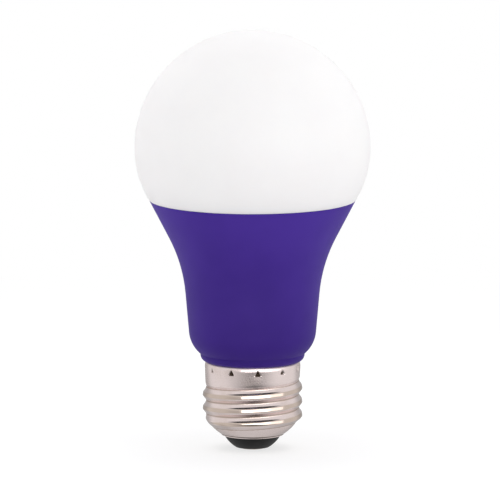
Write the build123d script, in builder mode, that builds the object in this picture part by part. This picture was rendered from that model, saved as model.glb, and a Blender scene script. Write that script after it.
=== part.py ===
from build123d import *
from math import atan, ceil, degrees, sqrt
import os

os.makedirs("parts", exist_ok=True)

# LED lamp of the A19 shape, standing on its screw cap. The lamp's axis is Z and the
# centre contact's face is z = 0. All sizes are in millimetres, radii are from the axis.

# Centre contact: a rivet, its head under the insulator and its shank in the insulator
contact_radius = 3.2
contact_height = 0.35
contact_bevel = 0.15
shank_radius = 1.2
shank_length = 2.5

# Insulator: a bowl under the shell's mouth, a plug in the mouth and a seat on the shell's floor
tip_radius = 4.4
tip_height = 3.35
tip_bulge = 0.32
seat_height = 1.0

# Screw shell: bowl, right-hand rolled thread and plain collar
shell_wall = 0.6
mouth_radius = 7.6
mouth_land = 0.8
bowl_height = 3.5
bowl_bulge = 0.3
bowl_step = 0.7
floor_height = 1.5
root_radius = 12.2
thread_height = 10.2
thread_pitch = 3.629
thread_depth = 0.9
crest_width = 0.7
shoulder_width = 1.6
shoulder_drop = 0.3
foot_width = 3.2
foot_height = 0.2
ridge_lead_in = 1.62
fade_rise = 1.5
fade_fall = 1.1
fade_margin = 0.6
collar_step = 0.35
collar_slope = 0.4
collar_height = 5.8
rim_taper = 0.2
rim_taper_height = 0.8

# Crimps: a ring of three-sided punch marks that lock the shell to the housing
crimp_count = 11
crimp_angle = -83.6
crimp_depth = 0.45
crimp_drop = 0.95
punch_size = 2.0

# Housing: a neck in the shell, a rounded lip on the shell's rim, and a flared body
lip_land = 0.3
lip_round = 1.9
lip_side = 0.25
body_radius = 16.75
shoulder_height = 5.65
waist_radius = 18.35
waist_height = 18.2
waist_round = 40.0
cone_height = 17.1
seam_radius = 27.25
seam_bevel = 0.2

# Diffuser: a globe on the housing's top edge, with a spigot in the housing
globe_radius = 31.05
globe_skirt = 13.6
spigot_inset = 3.0
spigot_depth = 3.0

# Gap at each curved fit
fit_clearance = 0.05

# Radii that follow from the sizes above
bore_radius = root_radius - shell_wall
foot_radius = root_radius - shell_wall / 2
bowl_radius = root_radius - bowl_step
crest_radius = root_radius + thread_depth
collar_radius = root_radius + collar_step
neck_radius = bore_radius - fit_clearance
plug_radius = mouth_radius - fit_clearance
lip_radius = neck_radius + lip_land + lip_round
spigot_radius = seam_radius - spigot_inset

# Levels, stacked upwards from the contact's face
tip_level = contact_height
mouth_level = tip_level + tip_height
land_level = mouth_level + mouth_land
bowl_level = mouth_level + bowl_height
floor_level = bowl_level + floor_height
seat_level = floor_level + seat_height
collar_level = bowl_level + thread_height
rim_level = collar_level + collar_height
crease_level = rim_level + lip_round + lip_side
body_level = crease_level + shoulder_height
waist_level = body_level + waist_height
seam_level = waist_level + cone_height
equator_level = seam_level + globe_skirt
spigot_level = seam_level - spigot_depth

upright = (Align.CENTER, Align.CENTER, Align.MIN)

# Centre contact
with BuildPart() as centre_contact:
    Cylinder(contact_radius, contact_height, align=upright)
    chamfer(centre_contact.faces().sort_by(Axis.Z)[0].edges(), contact_bevel)
    with Locations((0, 0, contact_height)):
        Cylinder(shank_radius, shank_length, align=upright)

# Insulator
with BuildPart() as insulator:
    with BuildSketch(Plane.XZ):
        with BuildLine():
            Line((0, tip_level), (tip_radius, tip_level))
            SagittaArc((tip_radius, tip_level), (plug_radius, mouth_level), -tip_bulge)
            Polyline(
                (plug_radius, mouth_level),
                (plug_radius, land_level),
                (neck_radius, floor_level),
                (neck_radius, seat_level),
                (0, seat_level),
                (0, tip_level),
            )
        make_face()
    revolve(axis=Axis.Z)
    with Locations((0, 0, tip_level)):
        Cylinder(
            shank_radius + fit_clearance,
            shank_length + fit_clearance,
            align=upright,
            mode=Mode.SUBTRACT,
        )

# Half a turn of the thread's ridge, with its foot sunk in the wall
with BuildPart() as half_turn:
    with BuildLine() as helix:
        Helix(thread_pitch, thread_pitch / 2, root_radius)
    with BuildSketch(Plane.XZ):
        with BuildLine():
            Polyline(
                (foot_radius, -foot_width / 2),
                (root_radius - foot_height, -foot_width / 2),
                (crest_radius - shoulder_drop, -shoulder_width / 2),
                (crest_radius, -crest_width / 2),
                (crest_radius, crest_width / 2),
                (crest_radius - shoulder_drop, shoulder_width / 2),
                (root_radius - foot_height, foot_width / 2),
                (foot_radius, foot_width / 2),
                close=True,
            )
        make_face()
    sweep(path=helix.line, is_frenet=True)

# Screw shell
with BuildPart() as screw_shell:
    # Core at the thread's root, wound with the ridge
    with Locations((0, 0, tip_level)):
        Cylinder(root_radius, rim_level - tip_level, align=upright)
    half_pitch = thread_pitch / 2
    half_turns = ceil((ridge_lead_in + thread_height) / half_pitch)
    for turn in range(half_turns):
        ridge_level = bowl_level - ridge_lead_in + turn * half_pitch
        with Locations(Location((0, 0, ridge_level), (0, 0, turn * 180))):
            add(half_turn.part)

    # The bowl trims the core, and the ridge fades into the bowl and the collar
    fade_radius = crest_radius + fade_margin
    with BuildSketch(Plane.XZ):
        with BuildLine():
            SagittaArc((mouth_radius, mouth_level), (bowl_radius, bowl_level), -bowl_bulge)
            Polyline(
                (bowl_radius, bowl_level),
                (fade_radius, bowl_level + fade_rise),
                (fade_radius, collar_level - fade_fall),
                (foot_radius, collar_level + fade_fall),
                (foot_radius, rim_level),
                (0, rim_level),
                (0, mouth_level),
                (mouth_radius, mouth_level),
            )
        make_face()
    revolve(axis=Axis.Z, mode=Mode.INTERSECT)

    # Collar
    with BuildSketch(Plane.XZ):
        with BuildLine():
            Polyline(
                (0, collar_level - collar_slope),
                (foot_radius, collar_level - collar_slope),
                (collar_radius, collar_level),
                (collar_radius, rim_level - rim_taper_height),
                (collar_radius - rim_taper, rim_level),
                (0, rim_level),
                close=True,
            )
        make_face()
    revolve(axis=Axis.Z)

    # Bore, sloping floor and mouth
    with BuildSketch(Plane.XZ):
        with BuildLine():
            Polyline(
                (0, mouth_level),
                (mouth_radius, mouth_level),
                (mouth_radius, land_level),
                (bore_radius, floor_level),
                (bore_radius, rim_level),
                (0, rim_level),
                close=True,
            )
        make_face()
    revolve(axis=Axis.Z, mode=Mode.SUBTRACT)

    # Punch marks, each left by the corner of a cube
    punch_reach = punch_size * sqrt(3) / 2 - crimp_depth
    corner_tilt = degrees(atan(1 / sqrt(2)))
    with Locations((0, 0, rim_level - crimp_drop)):
        with PolarLocations(collar_radius + punch_reach, crimp_count, crimp_angle):
            Box(
                punch_size,
                punch_size,
                punch_size,
                rotation=(0, corner_tilt, -45),
                mode=Mode.SUBTRACT,
            )

# Housing
with BuildPart() as housing:
    with BuildSketch(Plane.XZ):
        with BuildLine():
            Polyline(
                (spigot_radius + fit_clearance, seam_level),
                (spigot_radius + fit_clearance, spigot_level - fit_clearance),
                (0, spigot_level - fit_clearance),
                (0, seat_level),
                (neck_radius, seat_level),
                (neck_radius, rim_level),
                (neck_radius + lip_land, rim_level),
            )
            RadiusArc((neck_radius + lip_land, rim_level), (lip_radius, rim_level + lip_round), -lip_round)
            Line((lip_radius, rim_level + lip_round), (lip_radius, crease_level))
            TangentArc(
                (body_radius, body_level),
                (lip_radius, crease_level),
                tangent=(body_radius - waist_radius, -waist_height),
            )
            FilletPolyline(
                (body_radius, body_level),
                (waist_radius, waist_level),
                (seam_radius, seam_level),
                radius=waist_round,
            )
            Line((seam_radius, seam_level), (spigot_radius + fit_clearance, seam_level))
        make_face()
    revolve(axis=Axis.Z)
    chamfer(housing.faces().sort_by(Axis.Z)[-1].outer_wire().edges(), seam_bevel)

# Diffuser
with BuildPart() as diffuser:
    with BuildSketch(Plane.XZ):
        with BuildLine():
            Polyline(
                (0, equator_level + globe_radius),
                (0, spigot_level),
                (spigot_radius, spigot_level),
                (spigot_radius, seam_level),
                (seam_radius, seam_level),
            )
            TangentArc((globe_radius, equator_level), (seam_radius, seam_level), tangent=(0, -1))
            CenterArc((0, equator_level), globe_radius, 0, 90)
        make_face()
    revolve(axis=Axis.Z)

centre_contact.part.label = "centre_contact"
insulator.part.label = "insulator"
screw_shell.part.label = "screw_shell"
housing.part.label = "housing"
diffuser.part.label = "diffuser"

export_step(centre_contact.part, "parts/centre_contact.step")
export_step(insulator.part, "parts/insulator.step")
export_step(screw_shell.part, "parts/screw_shell.step")
export_step(housing.part, "parts/housing.step")
export_step(diffuser.part, "parts/diffuser.step")
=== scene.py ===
import math
import bmesh
import bpy
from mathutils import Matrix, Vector


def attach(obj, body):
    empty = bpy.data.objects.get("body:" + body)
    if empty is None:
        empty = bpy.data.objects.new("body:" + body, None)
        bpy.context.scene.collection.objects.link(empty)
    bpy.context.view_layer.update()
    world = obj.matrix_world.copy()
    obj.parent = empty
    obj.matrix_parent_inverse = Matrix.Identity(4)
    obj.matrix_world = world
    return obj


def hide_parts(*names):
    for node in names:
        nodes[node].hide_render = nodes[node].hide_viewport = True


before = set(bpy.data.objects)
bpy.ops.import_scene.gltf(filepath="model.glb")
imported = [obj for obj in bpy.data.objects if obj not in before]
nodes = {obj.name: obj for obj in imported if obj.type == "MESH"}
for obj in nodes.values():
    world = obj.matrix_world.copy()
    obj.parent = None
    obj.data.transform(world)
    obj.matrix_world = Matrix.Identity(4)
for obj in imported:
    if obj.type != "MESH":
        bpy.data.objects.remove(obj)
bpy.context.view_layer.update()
mm = 0.001
print("frame loaded:", ", ".join(sorted(nodes)))


# A socket that takes part in sums: each operator adds one Math node
class Wire:
    def __init__(self, tree, socket):
        self.tree = tree
        self.socket = socket

    def maths(self, operation, first, second):
        made = self.tree.nodes.new("ShaderNodeMath")
        made.operation = operation
        for place, value in zip(made.inputs, (first, second)):
            if isinstance(value, Wire):
                self.tree.links.new(value.socket, place)
            else:
                place.default_value = value
        return Wire(self.tree, made.outputs[0])

    def __add__(self, other):
        return self.maths("ADD", self, other)

    def __radd__(self, other):
        return self.maths("ADD", other, self)

    def __sub__(self, other):
        return self.maths("SUBTRACT", self, other)

    def __rsub__(self, other):
        return self.maths("SUBTRACT", other, self)

    def __mul__(self, other):
        return self.maths("MULTIPLY", self, other)

    def __rmul__(self, other):
        return self.maths("MULTIPLY", other, self)

    def __abs__(self):
        return self.maths("ABSOLUTE", self, 0.0)


# A node tree that is filled node by node
class Finish:
    def __init__(self, tree):
        self.tree = tree
        tree.nodes.clear()

    # settings are set first, then the sockets get their values or links
    def node(self, kind, settings=None, sockets=None, out=0):
        made = self.tree.nodes.new("ShaderNode" + kind)
        for name, value in (settings or {}).items():
            setattr(made, name, value)
        for name, value in (sockets or {}).items():
            place = made.inputs[name]
            if isinstance(value, Wire):
                self.tree.links.new(value.socket, place)
            elif place.type == "RGBA":
                place.default_value = (*value, 1.0)
            else:
                place.default_value = value
        return Wire(self.tree, made.outputs[out]) if made.outputs else made

    def position(self):
        return self.node("TexCoord", out="Object")

    def attribute(self, name):
        return self.node("Attribute", {"attribute_name": name}, out="Fac")

    def axes(self, vector):
        split = self.node("SeparateXYZ", sockets={"Vector": vector})
        return [Wire(self.tree, socket) for socket in split.socket.node.outputs]

    def stretched(self, vector, scales):
        return self.node("VectorMath", {"operation": "MULTIPLY"}, {0: vector, 1: scales})

    def noise(self, vector, scale, detail=2.0):
        return self.node("TexNoise", sockets={"Vector": vector, "Scale": scale, "Detail": detail})

    # 0 at low to 1 at high, eased; low may be the larger of the two
    def ramp(self, value, low, high):
        settings = {"interpolation_type": "SMOOTHSTEP"}
        return self.node("MapRange", settings, {"Value": value, "From Min": low, "From Max": high})

    def mix(self, share, first, second):
        return self.node("Mix", {"data_type": "RGBA"}, {0: share, 6: first, 7: second}, 2)

    def bump(self, height, depth):
        return self.node("Bump", sockets={"Height": height, "Strength": 1.0, "Distance": depth})

    def surface(self, sockets):
        shader = self.node("BsdfPrincipled", sockets=sockets)
        self.node("OutputMaterial", sockets={"Surface": shader})


def newFinish(name):
    material = bpy.data.materials.new(name)
    material.use_nodes = True
    return material, Finish(material.node_tree)


# Frosted diffuser plastic: milky, with a fine blasted grain and a faint warm cloudiness
frostedLook = {
    "colour": (0.940, 0.922, 0.929),
    "cloud": (0.918, 0.901, 0.909),
    "cloudScale": 45.0,
    "cloudDetail": 3.0,
    "cloudLevels": (0.35, 0.7),
    "grainScale": 2600.0,
    "grainDepth": 0.00001,
    "roughness": 0.46,
    "grainRough": 0.12,
    "shader": {
        "Specular IOR Level": 0.3,
        "Subsurface Weight": 0.5,
        "Subsurface Radius": (1.0, 0.97, 0.95),
        "Subsurface Scale": 0.004,
    },
}

# Violet moulded plastic: satin, with a fine spark-eroded texture and faint flow clouds
violetLook = {
    "colour": (0.0592, 0.0255, 0.278),
    "cloud": (0.0684, 0.0303, 0.311),
    "cloudScale": 55.0,
    "cloudDetail": 3.0,
    "cloudLevels": (0.3, 0.7),
    "grainScale": 3200.0,
    "grainDepth": 0.000012,
    "roughness": 0.38,
    "grainRough": 0.14,
    "shader": {"Specular IOR Level": 0.08},
}

# Black insulator: pressed glass-filled plastic, semi-matt, a little dusty
blackLook = {
    "colour": (0.0070, 0.0064, 0.0068),
    "cloud": (0.018, 0.0165, 0.017),
    "cloudScale": 420.0,
    "cloudDetail": 4.0,
    "cloudLevels": (0.5, 0.8),
    "grainScale": 2400.0,
    "grainDepth": 0.000015,
    "roughness": 0.42,
    "grainRough": 0.16,
    "shader": {"Specular IOR Level": 0.3},
}


def makePlastic(name, look):
    material, finish = newFinish(name)
    place = finish.position()
    cloud = finish.noise(place, look["cloudScale"], look["cloudDetail"])
    grain = finish.noise(place, look["grainScale"])
    clouded = finish.ramp(cloud, *look["cloudLevels"])
    finish.surface({
        "Base Color": finish.mix(clouded, look["colour"], look["cloud"]),
        "Roughness": look["roughness"] + look["grainRough"] * grain,
        "Normal": finish.bump(grain, look["grainDepth"]),
        **look["shader"],
    })
    return material


# Nickel plate: warm, bright, with fine turning marks round the cap and small stains; the crests get a
# brownish tint, a painted reflection of warm surroundings together with wear; the roots are darker and
# duller; the punch marks and the groove round the mouth get painted shade; rim levels are in metres
nickelLook = {
    "bright": (0.885, 0.765, 0.745),
    "stain": (0.80, 0.675, 0.635),
    # brownish crest tint: a painted reflection of warm surroundings together with wear
    "worn": (0.66, 0.545, 0.470),
    # a darker, duller colour for the thread's roots
    "rootTone": (0.50, 0.39, 0.33),
    # colour of the painted shade in the punch marks and the groove round the mouth
    "shadeColour": (0.085, 0.060, 0.045),
    "stainScale": 170.0,
    "stainDetail": 5.0,
    "stainLevels": (0.45, 0.75),
    "turnScale": 5200.0,
    "turnStretch": (0.05, 0.05, 1.0),
    "turnDepth": 0.0000018,
    "crestLevels": (0.58, 0.75),
    "polishLevels": (0.03, 0.20),
    "shadeMaskLevels": (0.05, 0.18),
    "rimLevels": (0.0226, 0.0230),
    "cover": 0.7,
    "stainCover": 0.5,
    "roughness": 0.21,
    "turnRough": 0.05,
    "stainRough": 0.06,
    "polish": 0.13,
    "rootRough": 0.10,
    "shadeMaskRough": 0.2,
    "rimRough": 0.12,
}


def makeNickel():
    look = nickelLook
    material, finish = newFinish("nickel")
    place = finish.position()
    stain = finish.noise(place, look["stainScale"], look["stainDetail"])
    turning = finish.noise(finish.stretched(place, look["turnStretch"]), look["turnScale"])
    ridge = finish.attribute("ridge")
    root = finish.attribute("root")
    crestWearAndReflection = finish.ramp(ridge, *look["crestLevels"])
    polished = finish.ramp(ridge, *look["polishLevels"])
    paintedShade = finish.ramp(finish.attribute("paintedShade"), *look["shadeMaskLevels"])
    rim = finish.ramp(finish.axes(place)[2], *look["rimLevels"])
    cover = look["cover"] + look["stainCover"] * stain
    plate = finish.mix(finish.ramp(stain, *look["stainLevels"]), look["bright"], look["stain"])
    # the crests: a brownish tint, a painted reflection of warm surroundings together with wear
    plate = finish.mix(crestWearAndReflection * cover, plate, look["worn"])
    # the roots: a darker, duller colour
    plate = finish.mix(root * cover, plate, look["rootTone"])
    roughness = look["roughness"] + look["turnRough"] * turning + look["stainRough"] * stain
    roughness = roughness - look["polish"] * polished + look["rootRough"] * root
    finish.surface({
        # painted shade: dark in the punch marks and the groove round the mouth
        "Base Color": finish.mix(paintedShade, plate, look["shadeColour"]),
        "Metallic": 1.0,
        "Roughness": roughness + look["shadeMaskRough"] * paintedShade + look["rimRough"] * rim,
        "Normal": finish.bump(turning, look["turnDepth"]),
    })
    return material


# Contact: tinned brass rivet with press marks
contactLook = {
    "tin": (0.72, 0.66, 0.60),
    "worn": (0.62, 0.50, 0.36),
    "wearScale": 700.0,
    "wearDetail": 4.0,
    "wearLevels": (0.45, 0.7),
    "scratchScale": 2600.0,
    "scratchStretch": (1.0, 0.06, 1.0),
    "scratchDepth": 0.000004,
    "roughness": 0.26,
    "scratchRough": 0.14,
}


def makeContact():
    look = contactLook
    material, finish = newFinish("contactMetal")
    place = finish.position()
    wear = finish.noise(place, look["wearScale"], look["wearDetail"])
    scratch = finish.noise(finish.stretched(place, look["scratchStretch"]), look["scratchScale"])
    finish.surface({
        "Base Color": finish.mix(finish.ramp(wear, *look["wearLevels"]), look["tin"], look["worn"]),
        "Metallic": 1.0,
        "Roughness": look["roughness"] + look["scratchRough"] * scratch,
        "Normal": finish.bump(scratch, look["scratchDepth"]),
    })
    return material


finishes = {
    "diffuser": makePlastic("frostedPlastic", frostedLook),
    "housing": makePlastic("violetPlastic", violetLook),
    "screw_shell": makeNickel(),
    "insulator": makePlastic("blackInsulator", blackLook),
    "centre_contact": makeContact(),
}
for name, material in finishes.items():
    nodes[name].material_slots[0].material = material
print("finishes made:", len(finishes))


# Screw shell: drawn sheet with a rolled thread that runs out into the bowl and the collar.
# Lengths and levels are in mm; mouth, bowl, root, collar, bore and outside are radii.
# Run-in and run-out are in turns along the thread, its bends and reaches in shares of its pitch,
# and openHeight and edgeSoftness in shares of its depth.
shellSizes = {
    "steps": 400,
    "mouth": 7.6,
    "mouthLevel": 3.55,
    "mouthLip": 0.16,
    "landLevel": 4.50,
    "bead": 0.22,
    "beadLevel": 3.68,
    "groove": 0.1,
    "grooveLevel": 4.02,
    "beadReach": 0.15,
    # how dark the painted shade in the groove round the mouth is
    "grooveShade": 0.22,
    "bowl": 11.6,
    "bowlLevel": 7.20,
    "bowlBulge": 0.32,
    "root": 12.23,
    "rootLevels": (6.9, 8.3),
    "pitch": 3.629,
    "depth": 0.87,
    "flankSlope": 0.54,
    "upperBends": (0.03, 0.17, 0.39, 0.5),
    "lowerBends": (0.11, 0.16, 0.43, 0.5),
    "shoulderSlope": 0.31,
    "shoulderBends": (0.11, 0.18, 0.20, 0.27),
    "slopeSteps": 250,
    "crestLean": 0.14,
    "leanReach": 0.12,
    "ridgeReach": 0.45,
    "rootReach": (0.41, 0.48),
    "startLevel": 5.58,
    "runIn": (0.42, 0.68),
    "runOut": (3.0, 3.4),
    "openHeight": 1.4,
    "edgeSoftness": 0.16,
    "collar": 12.55,
    "collarLean": 0.055,
    "collarLevel": 20.2,
    "rimStart": 22.0,
    "rimRound": 1.85,
    "rimLevel": 23.2,
    "bore": 11.6,
    "floorLevel": 8.70,
    "outside": 14.0,
    "bandLevels": (4.50, 6.20, 19.2, 20.8),
    "bandRows": (13, 11, 170, 8, 24),
    "weld": 0.001,
    "sharpAngle": 50.0,
}
# Punch marks round the collar: lengths in mm, the first mark's angle in degrees from +X,
# counter-clockwise seen from above, and how much painted shade each mark gets, in that order
crimpSizes = {
    "count": 11,
    "first": -83.6,
    "level": 21.9,
    "top": 0.8,
    "bottom": 0.9,
    "halfWidth": 0.9,
    "depth": 0.6,
    "dimple": 0.08,
    "dimpleReach": 1.2,
    "dimpleEnd": 4.8,
    # the painted shade also reaches this far below each mark
    "shadeDrop": 0.15,
    "markShades": (1.0, 0.36, 0.26, 0.8, 0.4, 1.0, 0.5, 0.3, 0.9, 0.27, 0.7),
}


def ease(value, low, high):
    share = min(max((value - low) / (high - low), 0.0), 1.0)
    return share * share * (3.0 - 2.0 * share)


# Eased up over the first two bends and down again over the last two
def plateau(value, bends):
    return ease(value, *bends[:2]) - ease(value, *bends[2:])


def hump(value, middle, reach):
    return math.exp(-((value - middle) / reach) ** 2)


# The lower of two heights, rounded where they cross
def softLower(first, second, softness):
    return 0.5 * (first + second - math.hypot(first - second, softness))


# Radius of the bowl at a level: an arc, with a bead and a groove round the mouth
def bowlRadius(level):
    size = shellSizes
    rise = size["bowlLevel"] - size["mouthLevel"]
    reach = size["bowl"] - size["mouth"] - size["mouthLip"]
    share = min(max((level - size["mouthLevel"]) / rise, 0.0), 1.0)
    bulge = 4.0 * size["bowlBulge"] * share * (1.0 - share) * math.hypot(rise, reach) / rise
    bead = size["bead"] * hump(level, size["beadLevel"], size["beadReach"])
    groove = size["groove"] * hump(level, size["grooveLevel"], size["beadReach"])
    return size["mouth"] + size["mouthLip"] + reach * share + bulge + bead - groove


# Drop of the thread from crest to root, 0 to 1, summed from its slope over half a pitch:
# a broad crest, an even flank and a narrow root, with or without a steeper shoulder
def threadDrops(bends, shoulderSlope):
    size = shellSizes
    drops = [0.0]
    for step in range(size["slopeSteps"]):
        away = 0.5 * (step + 0.5) / size["slopeSteps"]
        flank = size["flankSlope"] * plateau(away, bends)
        drops.append(drops[-1] + flank + shoulderSlope * plateau(away, size["shoulderBends"]))
    return [drop / drops[-1] for drop in drops]


upperDrops = threadDrops(shellSizes["upperBends"], shellSizes["shoulderSlope"])
lowerDrops = threadDrops(shellSizes["lowerBends"], 0.0)


# Height of the thread, 0 to 1, at a share of a pitch away from its crest
def threadHeight(drops, away):
    place = 2.0 * away * shellSizes["slopeSteps"]
    first = min(int(place), shellSizes["slopeSteps"] - 1)
    return 1.0 - drops[first] - (place - first) * (drops[first + 1] - drops[first])


# Share of a pitch above the nearest crest, and turns along that crest from its start
def threadPlace(turn, level):
    phase = (level - shellSizes["startLevel"]) / shellSizes["pitch"] - turn
    ridge = math.floor(phase + 0.5)
    return phase - ridge, ridge + turn


# How much a place on the wall belongs to the ridge, and to the darker root
def threadMarks(turn, level):
    size = shellSizes
    above, along = threadPlace(turn, level)
    away = abs(above)
    shown = ease(along, *size["runIn"]) * (1.0 - ease(along, *size["runOut"]))
    return shown * max(0.0, 1.0 - away / size["ridgeReach"]), shown * ease(away, *size["rootReach"])


# Height of the thread with its lean, its run-in and its run-out into the collar
def threadWave(turn, level):
    size = shellSizes
    above, along = threadPlace(turn, level)
    away = abs(above)
    ended = ease(along, *size["runOut"])
    wave = threadHeight(upperDrops, away)
    grooveAlong = along
    if above < 0.0:
        lower = threadHeight(lowerDrops, away)
        wave = lower + (wave - lower) * ended
        grooveAlong = along - 1.0  # the groove under a crest belongs to the turn before
    lean = min(away, size["leanReach"] * (0.5 - away) / (0.5 - size["leanReach"]))
    wave = wave - size["crestLean"] * math.copysign(lean, above) * size["pitch"] / size["depth"]
    wave = wave + (1.0 - wave) * ease(grooveAlong, *size["runOut"])
    collarHeight = (size["collar"] - size["root"]) / size["depth"]
    cap = size["openHeight"] + (collarHeight - size["openHeight"]) * ended
    return softLower(wave, cap, size["edgeSoftness"]) * ease(along, *size["runIn"])


# Radius of the wall at an angle and a level, before the crimps
def wallRadius(turn, level):
    size = shellSizes
    along = threadPlace(turn, level)[1]
    base = bowlRadius(level) + (size["root"] - size["bowl"]) * ease(level, *size["rootLevels"])
    flare = size["collarLean"] * (level - size["collarLevel"]) * ease(along, *size["runOut"])
    over = max(0.0, level - size["rimStart"])
    rim = size["rimRound"] - math.sqrt(size["rimRound"] ** 2 - over ** 2)
    return base + size["depth"] * threadWave(turn, level) + flare - rim


# Place of an angle in the ring of punch marks: whole at the middle of each mark
def crimpPlace(turn):
    return (turn - crimpSizes["first"] / 360.0) * crimpSizes["count"]


# Inward push of the punch marks: each a three-sided pyramid in a shallow dimple
def crimpPush(turn, level):
    size = crimpSizes
    place = crimpPlace(turn)
    across = (place - round(place)) * 2.0 * math.pi * shellSizes["collar"] / size["count"]
    up = level - size["level"]
    if abs(up) > size["dimpleEnd"]:
        return 0.0
    height = size["top"] + size["bottom"]
    toTop = (size["top"] - up) / height
    fromBottom = (up + size["bottom"]) / height
    side = 0.5 * toTop - 0.5 * abs(across) / size["halfWidth"]
    pyramid = max(0.0, 3.0 * min(fromBottom, side))  # 1 where the three sides meet
    dimple = math.exp(-0.5 * (across * across + up * up) / size["dimpleReach"] ** 2)
    return size["depth"] * min(pyramid, 1.0) + size["dimple"] * dimple


# Painted shade: dark in the punch marks, more in some than in others, and in the groove round the
# mouth
def wallShade(turn, level):
    size = shellSizes
    inMark = crimpSizes["markShades"][round(crimpPlace(turn)) % crimpSizes["count"]]
    push = max(crimpPush(turn, level), crimpPush(turn, level + crimpSizes["shadeDrop"]))
    return inMark * push + size["grooveShade"] * hump(level, size["grooveLevel"], size["beadReach"])


def makeShell():
    size = shellSizes
    bm = bmesh.new()
    layerNames = ("paintedShade", "ridge", "root")
    for name in layerNames:
        bm.verts.layers.float.new(name)
    paintedShade, ridge, root = [bm.verts.layers.float[name] for name in layerNames]
    outerLevels = (size["mouthLevel"], *size["bandLevels"], size["rimLevel"])
    section = [(size["outside"], level) for level in outerLevels]
    section += [(size["bore"], size["rimLevel"]), (size["bore"], size["floorLevel"])]
    section += [(size["mouth"], size["landLevel"]), (size["mouth"], size["mouthLevel"])]
    loop = [bm.verts.new((radius * mm, 0.0, level * mm)) for radius, level in section]
    edges = [bm.edges.new(pair) for pair in zip(loop, loop[1:] + loop[:1])]
    for edge, rows in zip(edges, size["bandRows"]):  # only the outer wall's bands are divided
        bmesh.ops.subdivide_edges(bm, edges=[edge], cuts=rows - 1)
    bmesh.ops.spin(
        bm, geom=bm.verts[:] + bm.edges[:], axis=(0, 0, 1), cent=(0, 0, 0),
        angle=2.0 * math.pi, steps=size["steps"], use_merge=True,
    )
    bmesh.ops.remove_doubles(bm, verts=bm.verts, dist=size["weld"] * mm)
    betweenWalls = 0.5 * (size["outside"] + size["bore"]) * mm
    for vert in bm.verts:
        if vert.co.xy.length > betweenWalls:  # the outer wall, still a plain tube
            turn = (math.atan2(vert.co.y, vert.co.x) / (2.0 * math.pi)) % 1.0
            level = vert.co.z / mm
            # painted shade for the punch marks and the mouth groove, kept on the wall's points
            vert[paintedShade] = wallShade(turn, level)
            vert[ridge], vert[root] = threadMarks(turn, level)
            radius = wallRadius(turn, level) - crimpPush(turn, level)
            vert.co.xy = vert.co.xy.normalized() * radius * mm
    bmesh.ops.recalc_face_normals(bm, faces=bm.faces)
    for edge in bm.edges:
        edge.smooth = edge.calc_face_angle(0.0) < math.radians(size["sharpAngle"])
    for face in bm.faces:
        face.smooth = True
    mesh = bpy.data.meshes.new("screwShell")
    bm.to_mesh(mesh)
    bm.free()
    piece = bpy.data.objects.new("screwShell", mesh)
    bpy.context.scene.collection.objects.link(piece)
    mesh.materials.append(finishes["screw_shell"])
    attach(piece, "root")
    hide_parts("screw_shell")
    return piece


shell = makeShell()
print("screw shell made:", len(shell.data.polygons), "faces")


def lightRays(finish):
    rays = finish.node("LightPath").socket.node.outputs
    names = ("Is Camera Ray", "Is Glossy Ray", "Is Transmission Ray")
    return [Wire(finish.tree, rays[name]) for name in names]


# Floor: pale, with the lamp's shadow near it, white further off, and clear from below
floorLook = {
    "radius": 2.5,
    "segments": 96,
    "colour": (0.55, 0.547, 0.547),
    "shadowKept": 0.6,
    "nearWhite": 0.74,
    "shadowReach": (0.10, 0.30),
}


def makeFloor():
    look = floorLook
    bm = bmesh.new()
    bmesh.ops.create_circle(bm, cap_ends=True, segments=look["segments"], radius=look["radius"])
    mesh = bpy.data.meshes.new("floor")
    bm.to_mesh(mesh)
    bm.free()
    floor = bpy.data.objects.new("floor", mesh)
    bpy.context.scene.collection.objects.link(floor)
    material, finish = newFinish("paleFloor")
    camera, glossy, transmission = lightRays(finish)
    seen = camera + glossy + transmission
    reach = finish.node("VectorMath", {"operation": "LENGTH"}, {0: finish.position()}, "Value")
    far = finish.ramp(reach, *look["shadowReach"])
    paint = finish.node("BsdfDiffuse", sockets={"Color": look["colour"]})
    blank = finish.node("Emission", sockets={"Color": (0.0, 0.0, 0.0)})
    kept = look["shadowKept"] * (1.0 - far)
    shade = finish.node("MixShader", sockets={0: seen * (1.0 - kept), 1: paint, 2: blank})
    level = look["nearWhite"] + (1.0 - look["nearWhite"]) * far
    white = finish.node("Emission", sockets={"Strength": level * seen})
    above = finish.node("AddShader", sockets={0: shade, 1: white})
    below = finish.node("BsdfTransparent", sockets={"Color": (1.0, 1.0, 1.0)})
    side = finish.node("NewGeometry", out="Backfacing")
    oneSided = finish.node("MixShader", sockets={0: side, 1: above, 2: below})
    finish.node("OutputMaterial", sockets={"Surface": oneSided})
    mesh.materials.append(material)
    floor.visible_glossy = False


# World: a pale sky, whose soft light is dimmer from the front, where shadeAim (Y and Z) points
skyLook = {
    "colour": (0.8, 0.8, 0.8),
    "ambient": 0.45,
    "shadeAim": (-0.985, -0.17),
    "shadeLevels": (0.30, 0.85),
    "shadeDark": 0.8,
    "frontMiddle": 0.08,
}
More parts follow.
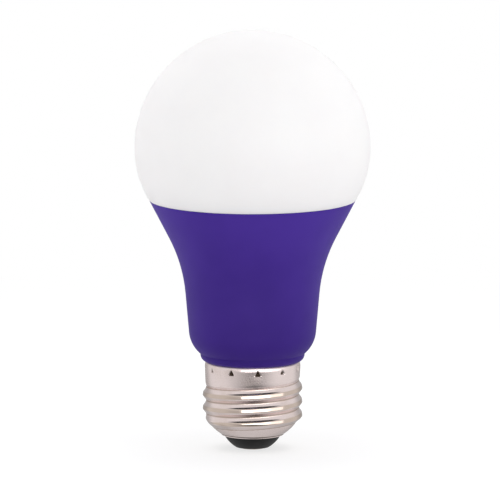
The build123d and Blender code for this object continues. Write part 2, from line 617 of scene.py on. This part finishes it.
# Dim zones of the sky that only gloss and metal show: how dim each is, and the bands that bound
# it, each with its way and where along it the zone starts and is full.
# Ways are X, Y and Z, how far off the middle, and how far off the front zone's middle.
skyZones = {
    "left": {"dim": 0.22, "bands": (("y", -0.25, -0.75), ("x", 0.0, -0.50),
                                    ("z", -0.64, -0.47), ("z", 0.24, 0.09))},
    "front": {"dim": 0.88, "bands": (("offFront", 0.9, 0.0), ("y", -0.1, -0.4),
                                     ("z", -0.90, -0.80), ("z", 0.08, -0.32))},
    "zenith": {"dim": 0.94, "bands": (("z", 0.755, 0.83), ("y", 0.25, 0.05),
                                      ("offMiddle", 0.70, 0.45))},
    "ground": {"dim": 0.20, "bands": (("z", -0.80, -0.88), ("y", -0.36, -0.22), ("y", 0.12, 0.02),
                                      ("offMiddle", 0.65, 0.40))},
    "underBowl": {"dim": 0.22, "bands": (("z", -0.55, -0.75), ("y", 0.02, 0.12), ("y", 0.90, 0.70))},
    "back": {"dim": 0.42, "bands": (("y", 0.45, 0.85),)},
}


def makeWorld():
    look = skyLook
    world = bpy.data.worlds.new("whiteStudio")
    bpy.context.scene.world = world
    world.use_nodes = True
    finish = Finish(world.node_tree)
    camera, glossy, transmission = lightRays(finish)
    x, y, z = finish.axes(finish.node("TexCoord", out="Generated"))
    ways = {"x": x, "y": y, "z": z, "offMiddle": abs(x), "offFront": abs(x - look["frontMiddle"])}
    shine = 1.0
    for zone in skyZones.values():
        dim = zone["dim"]
        for way, start, full in zone["bands"]:
            dim = dim * finish.ramp(ways[way], start, full)
        shine = shine * (1.0 - dim)
    aimY, aimZ = look["shadeAim"]
    shade = finish.ramp(aimY * y + aimZ * z, *look["shadeLevels"])
    soft = look["ambient"] * (1.0 - look["shadeDark"] * shade)
    mirrored = glossy + transmission
    around = shine * mirrored + (1.0 - mirrored) * soft
    strength = camera + (1.0 - camera) * around
    sky = finish.node("Background", sockets={"Color": look["colour"], "Strength": strength})
    finish.node("OutputWorld", sockets={"Surface": sky})


# Soft boxes and, lying on the floor, pale cards: place, the point that each is turned to, and
# size in metres; level is how bright each is, where 1 is white.
# The key box and its dimmer side only show in gloss and metal, the others only light the plastics.
softBoxes = {
    "keyBox": {"place": (-0.006, -0.860, 0.235), "aim": (-0.329, -0.150, 0.055), "size": (1.216, 0.45),
               "level": 2.2, "shows": True},
    "keySide": {"place": (0.876, -0.458, 0.235), "aim": (0.553, 0.252, 0.055), "size": (0.724, 0.45),
                "level": 1.0, "shows": True},
    "rightBox": {"place": (0.7025, -0.3735, 0.1386), "aim": (0.0, 0.0, 0.055), "size": (0.5, 0.8),
                 "level": 0.56, "shows": False},
    "topBox": {"place": (0.0, 0.247, 0.816), "aim": (0.0, 0.0, 0.055), "size": (0.9, 0.9),
               "level": 1.67, "shows": False},
    "topFrontBox": {"place": (0.0, -0.2205, 0.824), "aim": (0.0, 0.0, 0.055), "size": (0.9, 0.6),
                    "level": 1.32, "shows": False},
    "frontCard": {"place": (0.0, -0.45, 0.0006), "aim": (0.0, -0.45, 1.0), "size": (1.0, 0.6),
                  "level": 1.88, "shows": False},
    "rightCard": {"place": (0.45, 0.0, 0.0006), "aim": (0.45, 0.0, 1.0), "size": (0.6, 1.0),
                  "level": 1.85, "shows": False},
    "leftCard": {"place": (-0.45, 0.0, 0.0006), "aim": (-0.45, 0.0, 1.0), "size": (0.6, 1.0),
                 "level": 2.10, "shows": False},
}


def makeLights():
    for name, box in softBoxes.items():
        width, height = box["size"]
        lamp = bpy.data.lights.new(name, "AREA")
        lamp.shape = "RECTANGLE"
        lamp.size = width
        lamp.size_y = height
        lamp.energy = box["level"] * math.pi * width * height
        holder = bpy.data.objects.new(name, lamp)
        holder.location = box["place"]
        towards = Vector(box["aim"]) - Vector(box["place"])
        holder.rotation_euler = towards.to_track_quat("-Z", "Y").to_euler()
        holder.visible_camera = False
        holder.visible_glossy = box["shows"]
        holder.visible_diffuse = not box["shows"]
        bpy.context.scene.collection.objects.link(holder)


# Camera: a long lens, a little above the lamp, on its -Y side
cameraView = {
    "distance": 3.0,
    "elevation": 8.6,
    "frameWidth": 0.1316,
    "sensor": 36.0,
    "clipEnd": 20.0,
    "target": (-0.00066, 0.0, 0.05275),
}


def makeCamera():
    view = cameraView
    lens = bpy.data.cameras.new("camera")
    lens.sensor_width = view["sensor"]
    lens.lens = view["sensor"] * view["distance"] / view["frameWidth"]
    lens.clip_end = view["clipEnd"]
    camera = bpy.data.objects.new("camera", lens)
    elevation = math.radians(view["elevation"])
    back = Vector((0.0, -math.cos(elevation), math.sin(elevation)))
    camera.location = Vector(view["target"]) + back * view["distance"]
    camera.rotation_euler = (math.pi / 2.0 - elevation, 0.0, 0.0)
    bpy.context.scene.collection.objects.link(camera)
    bpy.context.scene.camera = camera


makeFloor()
makeWorld()
makeLights()
makeCamera()
bpy.context.scene.view_settings.view_transform = "Standard"
print("stage set")
